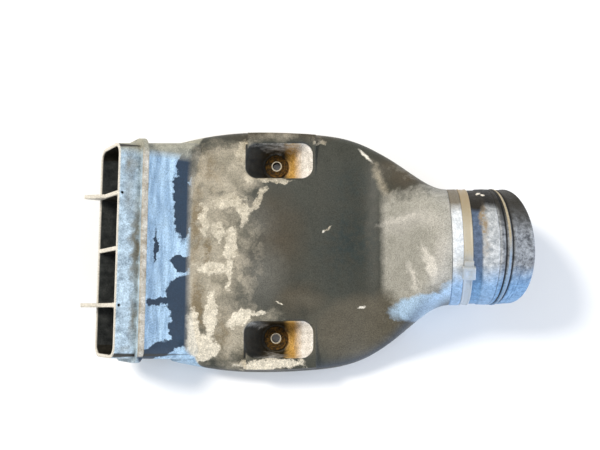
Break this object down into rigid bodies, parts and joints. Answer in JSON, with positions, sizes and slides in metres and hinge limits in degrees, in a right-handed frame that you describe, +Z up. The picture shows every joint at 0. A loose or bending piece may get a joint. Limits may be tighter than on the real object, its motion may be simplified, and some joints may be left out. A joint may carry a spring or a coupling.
{
  "type": "air intake duct with rubber outlet boot",
  "caption": "Flat moulded air intake duct with an upturned slotted mouth, deep bolt pockets and a round neck with a tied rubber boot.",
  "frame": {"origin": "midway between the two bolt holes, on the flat resting face", "axes": "+X from the mouth to the outlet, +Y to the left bolt hole, +Z up out of the flat body"},
  "size_m": [0.3282, 0.1899, 0.0903],
  "materials": {
    "duct_plastic": "matte, weathered with a pale dried film",
    "boot_rubber": "matte, dusty",
    "tie_nylon": "satin, yellowed",
    "grommet_rubber": "matte, rust stained",
    "sleeve_steel": "rusty"
  },
  "bodies": {
    "root": {"duct_shell": "duct_plastic", "outlet_boot": "boot_rubber", "cable_tie": "tie_nylon", "left_grommet": "grommet_rubber", "left_sleeve": "sleeve_steel", "right_grommet": "grommet_rubber", "right_sleeve": "sleeve_steel"}
  },
  "joints": []
}
